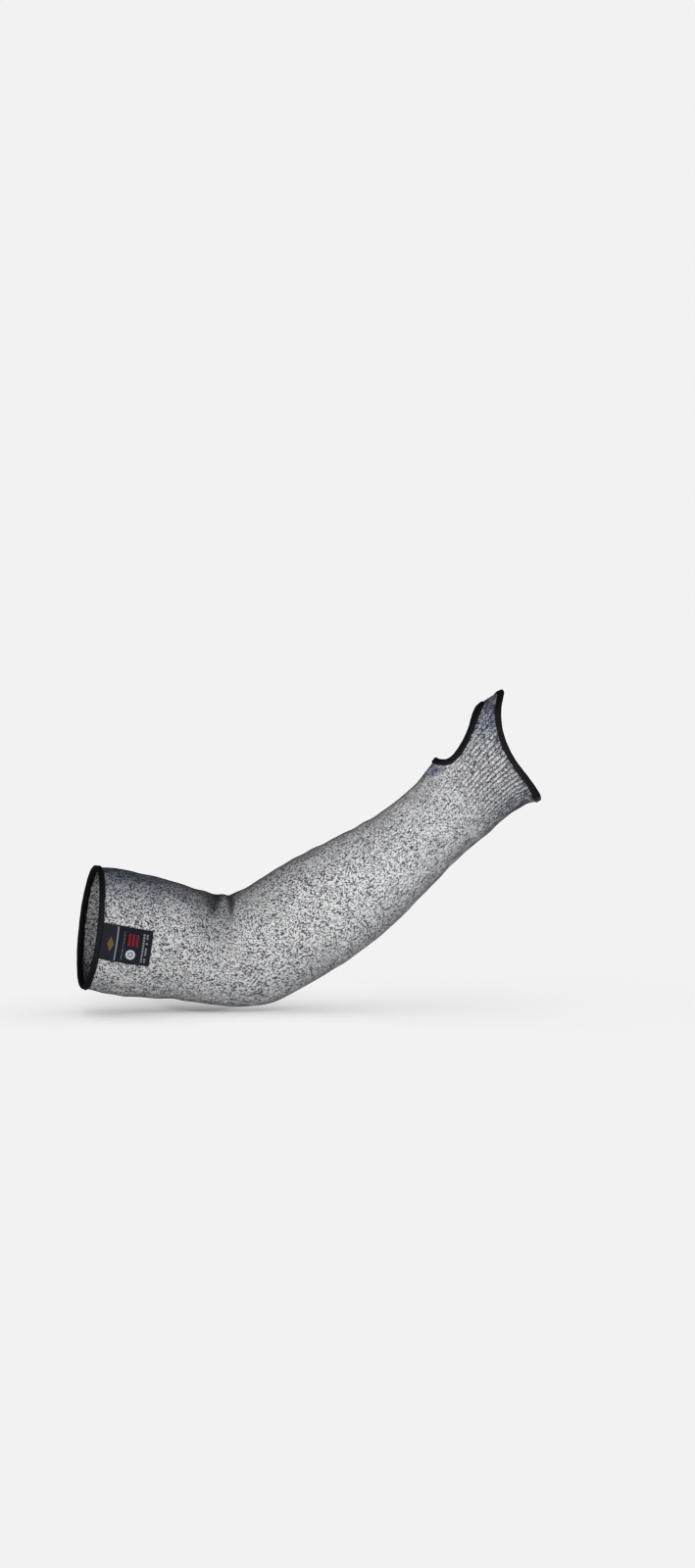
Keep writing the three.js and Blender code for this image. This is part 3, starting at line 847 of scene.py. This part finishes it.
def painted_knit_shade(v, thumb_side, blotch):
    """Painted shade on the cloth: in its folds, on top of the upper arm and, in blotches, under the forearm.
    """
    ridge = v.rise(0.34, 0.2) * thumb_side.rise(0.7, 0.95)
    underside = thumb_side.rise(0.34, 0.08) * v.rise(0.45, 0.75)
    shade = ridge * 0.3 + underside * (0.16 + blotch * 0.36)
    for start, full, fading, end, near, beside, strength in PAINTED_FOLD_SHADES:
        shade = shade + v.rise(start, full) * v.rise(end, fading) * thumb_side.rise(near, beside) * strength
    return shade.low(0.75)


def knit_finish(look):
    """Plain knit of white and black yarn. Each stitch is a V of two legs that run up the sleeve. A row
    coordinate that rises to the middle of each column draws the V. Each leg is light or dark by a throw
    for itself and a throw for a longer dash of yarn, which gives the salt and pepper of a melange.
    About the thumb hole, on the strap and by the hand edge blotches of it turn navy, a tint of the yarn. On
    top of the upper arm, at the heel of the hand and underneath, the navy and the fewer light legs are
    painted shade.
    Ribs run up to the hand opening, and painted shades darken the folds at the elbow and the knit's grooves."""
    f = Finish("melange_knit")
    u, v = f.uv()
    thumb_side = abs(u * 2 - 1)
    cloud = f.noise(f.vector(u * 14, v * 22), 1.0, 3.0, 0.6)
    blotch = f.noise(f.vector(u * 26, v * 40), 1.0, 2.0).rise(0.34, 0.6)

    wander = f.noise(f.vector(u * 60, v * 90), 1.0, 2.0) - 0.5
    wale = u * look.wales + wander * 0.35
    row = v * look.rows + wander * 1.4
    leg = (wale * 2).floor()
    across = abs((wale * 2).fraction() * 2 - 1)
    peak = 1 - abs(wale.fraction() * 2 - 1)
    climb = row + peak * 0.85
    stitch = climb.floor()
    along = abs(climb.fraction() * 2 - 1)

    # Where the knit turns navy: on top of the upper arm, at the heel of the hand and underneath this is
    # painted shade; about the thumb hole, on the strap and by the hand edge it is a tint of the yarn.
    top = v.rise(0.3, 0.05) * thumb_side.rise(0.6, 0.95)
    strap = v.rise(0.9, 0.985) * thumb_side.rise(0.6, 0.86)
    edge = v.rise(0.965, 0.99)
    corner = v.rise(0.8, 0.84) * v.rise(0.91, 0.87) * thumb_side.rise(0.72, 0.88)
    heel = v.rise(0.85, 0.95) * thumb_side.rise(0.42, 0.15)
    below = thumb_side.rise(0.3, 0.05)
    cool = strap + edge * 0.4 + corner * 0.9 + heel * 0.7 + below * 0.35 + 0.1
    navy_tint_and_painted_shade = (top * (0.4 + blotch * 0.4) + blotch * cool).low(1)

    own = f.dice(f.vector(leg, stitch))
    side = (leg * 0.5).fraction() * 2
    turn = ((leg + stitch) * 0.5).fraction() * 2
    # Fewer light legs where the knit is navy, which is partly painted shade, and on the strap.
    throw = own * 0.82 + turn * 0.12 + side * 0.06 + (cloud - 0.5) * 0.1 - navy_tint_and_painted_shade * 0.1 - strap * 0.08
    hair = f.noise(f.vector(u * look.wales * 9, v * look.rows * 2.5), 1.0, 2.0)
    glint = f.dice(f.vector(leg, stitch, 3.0))
    light = (throw.rise(0.385, 0.43) * (0.68 + glint * 0.28) + hair * 0.16).low(1)
    dark_yarn = f.mix(navy_tint_and_painted_shade, look.dark_yarn, look.navy_yarn_and_painted_shade)
    light_yarn = f.mix(navy_tint_and_painted_shade, look.light_yarn, look.pale_yarn_and_painted_shade)
    yarn = f.mix(light, dark_yarn, light_yarn)

    ribs = (v + thumb_side.rise(0.5, 0.1) * 0.04).rise(*RIBS_RISE) * thumb_side.rise(*reversed(RIBS_FADE))
    rib = 1 - abs((u * look.ribs + wander * 0.25).fraction() * 2 - 1)
    # Painted shade between the ribs, deeper at the heel of the hand, in the grooves between the legs and at
    # the ends of each stitch.
    painted_shade_between_ribs = ribs * rib.rise(0.55, 0.15) * (own * 0.6 + 0.35 + heel * 0.4)
    painted_groove_shade = across.rise(0.55, 1.0) * 0.3 + painted_shade_between_ribs
    gap = along.rise(0.6, 1.0) * 0.24
    # How lit the knit is once the painted shade of its grooves, folds, top and underneath is taken off.
    lit = (1 - (painted_groove_shade + gap).low(0.8)) * (1 - painted_knit_shade(v, thumb_side, blotch))
    ply = (climb * 16 + across * 3).sine() * 0.06
    height = (1 - across * across) * (0.55 + 0.45 * (1 - along * along)) + ply + hair * 0.12
    f.bump(height + ribs * rib.rise(0.1, 0.7) * 1.4, 0.0005, 0.75)
    # The yarn, darkened by the painted shade.
    f.set(Base_Color=f.mix(1 - lit, yarn, PAINTED_SHADE_TONE), Roughness=0.85 - light * 0.08)
    f.set(Specular_IOR_Level=0.25)
    return f.material


# From one fine thread of a tape to the next, and how many threads it leans over across the tape.
STRAND_PITCH = 0.3 * MM
STRAND_SLANT = 6


def tape_finish(name, tone, distance):
    """Black sewn edge, a distance long: fine threads wrapped over it, their backs smoother and painted a
    little lighter as a sheen, and the black lighter in uneven patches.
    """
    f = Finish(name)
    u, v = f.uv()
    strand = (u * (distance / STRAND_PITCH) + v * STRAND_SLANT).fraction()
    strand = 1 - abs(strand * 2 - 1)
    uneven = f.noise(f.place(), 260.0, 3.0, 0.6)
    # Lighter in uneven patches, and painted sheen along each thread's back.
    uneven_tone_and_painted_sheen = (uneven.rise(0.45, 0.75) * 0.5 + strand * 0.35).low(1)
    lighter = tuple(2.2 * c for c in tone)
    f.bump(strand * 0.6 + uneven * 0.5, 0.00018, 0.6)
    f.set(Base_Color=f.mix(uneven_tone_and_painted_sheen, tone, lighter), Roughness=0.62 - strand * 0.12)
    f.set(Specular_IOR_Level=0.18)
    return f.material


def thread_finish(name, tone):
    """Sewing thread: twisted, slightly shiny."""
    f = Finish(name)
    twist = f.noise(f.place(), 2600.0, 1.0)
    lighter = tuple(min(1, 1.8 * c) for c in tone)
    f.bump(twist, 0.0001, 0.5)
    f.set(Base_Color=f.mix(twist, tone, lighter), Roughness=0.5 + twist * 0.2, Specular_IOR_Level=0.25)
    return f.material


def weave(f, x, y, pitch):
    """The satin weave of a label, in millimetres over its face: long floats in staggered rows."""
    line = (y / pitch).floor()
    over = ((x / (pitch * 5)) + line * 0.4).fraction()
    rib = 1 - abs((y / pitch).fraction() * 2 - 1)
    return rib * (0.6 + 0.4 * over.rise(0.02, 0.18) * over.rise(0.98, 0.82))


def band(value, low, high, soft=0.09):
    """1 between low and high, with a soft edge a thread wide."""
    return value.rise(low - soft, low + soft) * value.rise(high + soft, high - soft)


# Places on the labels in millimetres: first from the sewn end, then across from the side nearer the thumb.
WEAVE_PITCH = 0.36
HEM = 0.45
BARS = ((23.6, 25.4), (27.1, 28.9), (30.6, 32.4))
BARS_ACROSS = (16.0, 26.5)
DISC_MIDDLE = (27.0, 8.6)
DISC_RADIUS = 4.15
RING_RADII = (1.4, 2.4)
DASHES = (36.2, 42.1)
DASHES_ACROSS = (3.0, 28.4)
DASH_PITCH = 2.9
DASHES_A_MM = 0.42
LINE = (19.2, 19.9)
LINE_ACROSS = (3.0, 29.0)
LINE_DASHES_A_MM = 1.1
LOZENGE_MIDDLE = (8.3, 15.0)
LOZENGE_HALF = (3.0, 6.6)
STRIPE = (13.1, 14.2)
STRIPE_ACROSS = (1.2, 30.6)


def label_base(f, labels, tone, length_mm):
    """The label's ground: its tone with a slight sheen, and the woven relief."""
    u, v = f.uv()
    width = labels.label_width / MM
    x, y = u * length_mm, v * width
    threads = weave(f, x, y, WEAVE_PITCH)
    worn = f.noise(f.place(), 90.0, 3.0, 0.6)
    lighter = tuple(1.9 * c + 0.003 for c in tone)
    ground = f.mix((threads * 0.35 + worn.rise(0.4, 0.75) * 0.5).low(1), tone, lighter)
    hem = band(x, HEM, length_mm - HEM, 0.3) * band(y, HEM, width - HEM, 0.3)
    f.bump(threads * 0.7 + hem * 0.8 + worn * 0.3, 0.00022, 0.7)
    f.set(Roughness=0.6 - threads * 0.12, Specular_IOR_Level=0.2)
    return x, y, threads, ground


def care_finish(labels):
    """Navy label: three plain red bars, a plain white disc with a darker ring, a thin broken line, and
    rows of plain grey dashes."""
    f = Finish("woven_navy_label")
    x, y, threads, ground = label_base(f, labels, labels.navy, labels.care_length / MM)
    full = 0.75 + threads * 0.25
    bars = sum(band(x, *bar) for bar in BARS) * band(y, *BARS_ACROSS)
    ground = f.mix(bars * full, ground, labels.red)
    dx, dy = x - DISC_MIDDLE[0], y - DISC_MIDDLE[1]
    away = (dx * dx + dy * dy).root()
    inner, outer = RING_RADII
    ring = away.rise(outer + 0.1, outer - 0.1) * away.rise(inner - 0.1, inner + 0.1)
    disc = away.rise(DISC_RADIUS + 0.15, DISC_RADIUS - 0.15) * (1 - ring * 0.75)
    ground = f.mix(disc * full, ground, labels.white)
    column = (x - DASHES[0]) / DASH_PITCH
    line = y * DASHES_A_MM
    dash = f.dice(f.vector(column.floor(), line.floor(), 2.0)).rise(0.2, 0.24)
    inked = band(column.fraction(), 0.12, 0.66, 0.12) * band(line.fraction(), 0.1, 0.8, 0.1)
    field = band(x, *DASHES) * band(y, *DASHES_ACROSS)
    ground = f.mix(inked * dash * field * full * 0.85, ground, labels.grey)
    broken = f.dice(f.vector((y * LINE_DASHES_A_MM).floor(), 4.0)).rise(0.25, 0.3)
    thin = band(x, *LINE) * band(y, *LINE_ACROSS) * broken
    ground = f.mix(thin * full * 0.5, ground, labels.grey)
    f.set(Base_Color=ground)
    return f.material


def tab_finish(labels):
    """Charcoal tab: a plain gold lozenge and a plain pale stripe across its free end."""
    f = Finish("woven_charcoal_label")
    x, y, threads, ground = label_base(f, labels, labels.charcoal, labels.tab_length / MM)
    full = 0.7 + threads * 0.3
    diamond = abs(x - LOZENGE_MIDDLE[0]) / LOZENGE_HALF[0] + abs(y - LOZENGE_MIDDLE[1]) / LOZENGE_HALF[1]
    shine = 0.6 + 0.4 * f.noise(f.place(), 1400.0, 2.0)
    ground = f.mix(diamond.rise(1.05, 0.92) * full * shine, ground, labels.gold)
    stripe = band(x, *STRIPE) * band(y, *STRIPE_ACROSS)
    ground = f.mix(stripe * full * 0.9, ground, labels.grey)
    f.set(Base_Color=ground)
    return f.material


# Operators

# A stitch fills this share of its repeat, whose length is this many stitch lengths. A tape's seam lies
# this far inside its edge. A label's stitches and threads are smaller, and its seam runs inside its sides.
STITCH_SHARE = 0.82
STITCH_REPEAT = 1.22
SEAM_INSET = 1.1 * MM
LABEL_STITCH_SHARE = 0.78
LABEL_THREAD_SHARE = 0.8
LABEL_SEAM_SIDE = 0.93
LABEL_SEAM_END = 0.965
LABEL_SEAM_POINTS = (17, 11)
LABEL_TUCK = 0.3 * MM
COOL_LIGHT = (0.72, 0.82, 1)


def the_cloth():
    """The cloth with the scene's sizes."""
    scene = bpy.context.scene
    return Cloth(scene.sleeve_sizes, scene.knit_look.unevenness)


class MakeKnit(Operator):
    """The seamless knitted tube with its thumb hole"""

    bl_idname = "sleeve.make_knit"
    bl_label = "Knit tube"

    def execute(self, context):
        sizes = context.scene.sleeve_sizes
        points, faces, uv = knit_surface(the_cloth(), context.scene.knit_look)
        piece = make_mesh("sleeve_knit", points, faces, uv)
        thicken(piece, sizes.knit_thickness, 0)
        place_piece(piece, knit_finish(context.scene.knit_look), "knit", "knit_tube")
        return {"FINISHED"}


def seam_thread(cloth, tapes, edge, into_cloth, inset):
    """The row of stitches that holds a tape, at an inset from the raw edge, on the outside."""
    distance = edge_length(cloth, edge)
    count = int(round(distance / (tapes.stitch_length * STITCH_REPEAT)))
    turn = np.append(even_turns(cloth, edge, count), 2 * np.pi)
    along, angle = cloth.inset(edge, turn, into_cloth, inset)
    half = cloth.sizes.knit_thickness / 2
    path = cloth.lift(along, angle, np.full(turn.shape, half + tapes.thickness))
    return thread_run(path, cloth.frame(along, angle)[2], tapes.thread_radius, STITCH_SHARE)


class MakeTapes(Operator):
    """The black tapes folded over the three raw edges, each with its seam"""

    bl_idname = "sleeve.make_tapes"
    bl_label = "Edge tapes"

    def execute(self, context):
        tapes = context.scene.edge_tapes
        cloth = the_cloth()
        thread = thread_finish("black_thread", tapes.thread)
        edges = (
            ("arm_opening", cloth.arm_edge, -1, tapes.arm_tape_width),
            ("hand_opening", cloth.hand_edge, 1, tapes.hand_tape_width),
            ("thumb_hole", cloth.hole_edge, -1, tapes.thumb_tape_width),
        )
        for name, edge, into_cloth, width in edges:
            points, faces, uv = tape_surface(cloth, tapes, edge, into_cloth, width)
            points = points.reshape(-1, 3)
            turned = outward_faces(points, faces)
            uv = uv if turned is faces else uv[:, ::-1]
            piece = make_mesh(f"sleeve_{name}_tape", points, turned, uv)
            finish = tape_finish(f"black_tape_{name}", tapes.black, edge_length(cloth, edge))
            place_piece(piece, finish, "edge_tape", f"{name}_tape")
            points, faces = seam_thread(cloth, tapes, edge, into_cloth, width - SEAM_INSET)
            seam = make_mesh(f"sleeve_{name}_seam", points, outward_faces(points, faces))
            place_piece(seam, thread, "edge_tape")
        return {"FINISHED"}


def label_seam(cloth, labels, tapes, start, end, lift):
    """Stitches just inside a label's two long sides and its free end."""
    reach = label_reach(cloth, labels, start)
    corner = start + (end - start) * LABEL_SEAM_END
    long, short = LABEL_SEAM_POINTS
    out = np.linspace(start, corner, long)
    along = np.concatenate([out, np.full(short, corner), out[::-1]])
    side = np.full(long, LABEL_SEAM_SIDE)
    across = np.concatenate([-side, np.linspace(-LABEL_SEAM_SIDE, LABEL_SEAM_SIDE, short), side])
    kept = np.concatenate([[True], np.hypot(np.diff(along) * 100, np.diff(across)) > 1e-6])
    along, angle = along[kept], labels.place + reach * across[kept]
    path = cloth.lift(along, angle, np.full(along.shape, lift))
    radius = tapes.thread_radius * LABEL_THREAD_SHARE
    return thread_run(path, cloth.frame(along, angle)[2], radius, LABEL_STITCH_SHARE)


class MakeLabels(Operator):
    """The navy care label and the charcoal tab over its start, both sewn in at the arm opening"""

    bl_idname = "sleeve.make_labels"
    bl_label = "Woven labels"

    def execute(self, context):
        scene = context.scene
        labels, tapes, sizes = scene.woven_labels, scene.edge_tapes, scene.sleeve_sizes
        cloth = the_cloth()
        start = cloth.walk(0, labels.place, (0.3, 0), tapes.arm_tape_width - LABEL_TUCK)[0]
        layer = labels.gap + labels.thickness
        lift = sizes.knit_thickness / 2 + layer
        pieces = (
            ("care", labels.care_length, lift, care_finish(labels), "navy_label"),
            ("tab", labels.tab_length, lift + layer, tab_finish(labels), "charcoal_label"),
        )
        for name, size, height, finish, slot in pieces:
            end = cloth.walk(start, labels.place, (0.3, 0), size)[0]
            points, faces, uv = label_surface(cloth, labels, start, end, height)
            piece = make_mesh(f"sleeve_{name}_label", points, faces[:, ::-1], uv[:, ::-1])
            thicken(piece, labels.thickness, -1)
            place_piece(piece, finish, slot, f"{name}_label")
        end = cloth.walk(start, labels.place, (0.3, 0), labels.care_length)[0]
        points, faces = label_seam(cloth, labels, tapes, start, end, lift)
        seam = make_mesh("sleeve_label_seam", points, outward_faces(points, faces))
        place_piece(seam, thread_finish("navy_thread", tuple(2 * c for c in labels.navy)), "navy_label")
        return {"FINISHED"}


def add_lamp(name, kind, place, aim, power):
    """A lamp at a place, turned towards the aim and unseen by the camera."""
    light = bpy.data.objects.new(name, bpy.data.lights.new(name, kind))
    light.data.energy = power
    light.location = place
    light.rotation_euler = (Vector(aim) - Vector(place)).to_track_quat("-Z", "Y").to_euler()
    light.visible_camera = False
    bpy.context.scene.collection.objects.link(light)
    return light


def area_light(name, place, aim, side, power, tone=(1, 1, 1)):
    """A square soft light."""
    light = add_lamp(name, "AREA", place, aim, power)
    light.data.shape = "SQUARE"
    light.data.size = side
    light.data.color = tone
    return light


def spot_light(name, place, aim, radius, cone, power):
    """A round soft light that fades out to a cone's edge, in degrees."""
    light = add_lamp(name, "SPOT", place, aim, power)
    light.data.shadow_soft_size = radius
    light.data.spot_size = math.radians(cone)
    light.data.spot_blend = 1
    return light


def view_direction(azimuth, elevation):
    """The direction from the aim back to the camera."""
    a, e = math.radians(azimuth), math.radians(elevation)
    return Vector((math.sin(a) * math.cos(e), -math.cos(a) * math.cos(e), math.sin(e)))


def make_backdrop(scene, studio):
    """The world: the even studio tone where the camera sees it. It lights the sleeve with a dim cool tone
    from above that fades to a second tone below the horizon."""
    world = bpy.data.worlds.new("studio_world")
    world.use_nodes = True
    graph = Graph(world.node_tree)
    direction = graph.add("ShaderNodeTexCoord").outputs["Generated"]
    upward = Value(graph, graph.add("ShaderNodeSeparateXYZ", None, direction).outputs[2])
    tone = graph.mix(upward.rise(-0.25, 0.4), studio.light_below, studio.light_above)
    even = graph.add("ShaderNodeBackground", None, tone)
    seen = graph.add("ShaderNodeBackground", None, (*studio.backdrop, 1))
    to_camera = graph.add("ShaderNodeLightPath").outputs["Is Camera Ray"]
    shown = graph.add("ShaderNodeMixShader", None, to_camera, even.outputs[0], seen.outputs[0])
    graph.add("ShaderNodeOutputWorld", None, shown.outputs[0])
    scene.world = world


class MakeStage(Operator):
    """The pale floor, the soft lights, the even backdrop and the camera"""

    bl_idname = "sleeve.make_stage"
    bl_label = "Studio"

    def execute(self, context):
        scene = context.scene
        studio = scene.studio
        aim = Vector(studio.aim)
        level = CAD_BOX[0][2] - studio.floor_gap
        side = studio.floor_side / 2
        corners = [[x, y, level] for x, y in ((-side, -side), (side, -side), (side, side), (-side, side))]
        floor = make_mesh("studio_floor", np.array(corners), np.array([[0, 1, 2, 3]]))
        paper = Finish("studio_paper")
        paper.set(Base_Color=(*studio.backdrop, 1), Roughness=1.0, Specular_IOR_Level=0.0)
        floor.data.materials.append(paper.material)
        floor.is_shadow_catcher = True
        floor.visible_diffuse = floor.visible_glossy = floor.visible_shadow = False

        make_backdrop(scene, studio)
        lit = Vector((0.27, -0.04, 0.09))
        lamps = (
            area_light("key", lit + Vector((0.02, -0.6, -0.06)), lit, 0.25, studio.key_power),
            area_light("left", (-0.75, -0.6, -0.12), (0.02, 0, 0), 0.3, studio.left_power),
            area_light("back", lit + Vector((0.35, 0.9, -0.3)), lit, 0.5, studio.back_power),
            area_light("side", lit + Vector((1.0, -0.3, -0.15)), lit, 0.5, studio.side_power, COOL_LIGHT),
            spot_light("forearm", (-0.05, -0.8, 0.3), (0.26, -0.04, 0.1), 0.1, 18, studio.forearm_power),
        )
        all_but_floor = bpy.data.collections.new("studio_all_but_floor")
        all_but_floor.objects.link(floor)
        all_but_floor.collection_objects[0].light_linking.link_state = "EXCLUDE"
        for lamp in lamps:
            lamp.light_linking.receiver_collection = all_but_floor
        floor_only = bpy.data.collections.new("studio_floor_only")
        floor_only.objects.link(floor)
        beside = (0.105, 0.05, level)
        near = spot_light("overhead", (0.1, -0.25, 0.15), beside, 0.05, 27, studio.shadow_power)
        even_fill = area_light("overhead_fill", (0.1, 0.0, 0.9), (0.1, 0.0, 0), 2.6, studio.floor_power)
        even_fill.data.use_shadow = False
        for lamp in (near, even_fill):
            lamp.light_linking.receiver_collection = floor_only

        camera = bpy.data.objects.new("camera", bpy.data.cameras.new("camera"))
        back = view_direction(studio.camera_azimuth, studio.camera_elevation)
        camera.location = aim + back * studio.camera_distance
        camera.rotation_euler = (-back).to_track_quat("-Z", "Y").to_euler()
        camera.data.lens = studio.camera_lens
        camera.data.sensor_width = 36
        camera.data.clip_end = 60
        scene.collection.objects.link(camera)
        scene.camera = camera
        scene.view_settings.view_transform = "Standard"
        return {"FINISHED"}


class SLEEVE_PT_workshop(Panel):
    """Lists the pieces and the studio, in the order in which they are made"""

    bl_label = "Sleeve"
    bl_idname = "SLEEVE_PT_workshop"
    bl_space_type = "VIEW_3D"
    bl_region_type = "UI"
    bl_category = "Sleeve"

    def draw(self, context):
        for operator in OPERATORS:
            self.layout.operator(operator.bl_idname)


OPERATORS = (MakeStage, MakeKnit, MakeTapes, MakeLabels)
SETTINGS = (
    ("sleeve_sizes", SleeveSizes),
    ("knit_look", KnitLook),
    ("edge_tapes", EdgeTapes),
    ("woven_labels", WovenLabels),
    ("studio", Studio),
)


def register():
    for name, settings in SETTINGS:
        bpy.utils.register_class(settings)
        setattr(bpy.types.Scene, name, PointerProperty(type=settings))
    for operator in OPERATORS:
        bpy.utils.register_class(operator)
    bpy.utils.register_class(SLEEVE_PT_workshop)


def unregister():
    bpy.utils.unregister_class(SLEEVE_PT_workshop)
    for operator in reversed(OPERATORS):
        bpy.utils.unregister_class(operator)
    for name, settings in reversed(SETTINGS):
        delattr(bpy.types.Scene, name)
        bpy.utils.unregister_class(settings)


def main():
    register()
    bpy.ops.sleeve.make_stage()
    bpy.ops.sleeve.make_knit()
    bpy.ops.sleeve.make_tapes()
    bpy.ops.sleeve.make_labels()


if __name__ == "__main__":
    main()
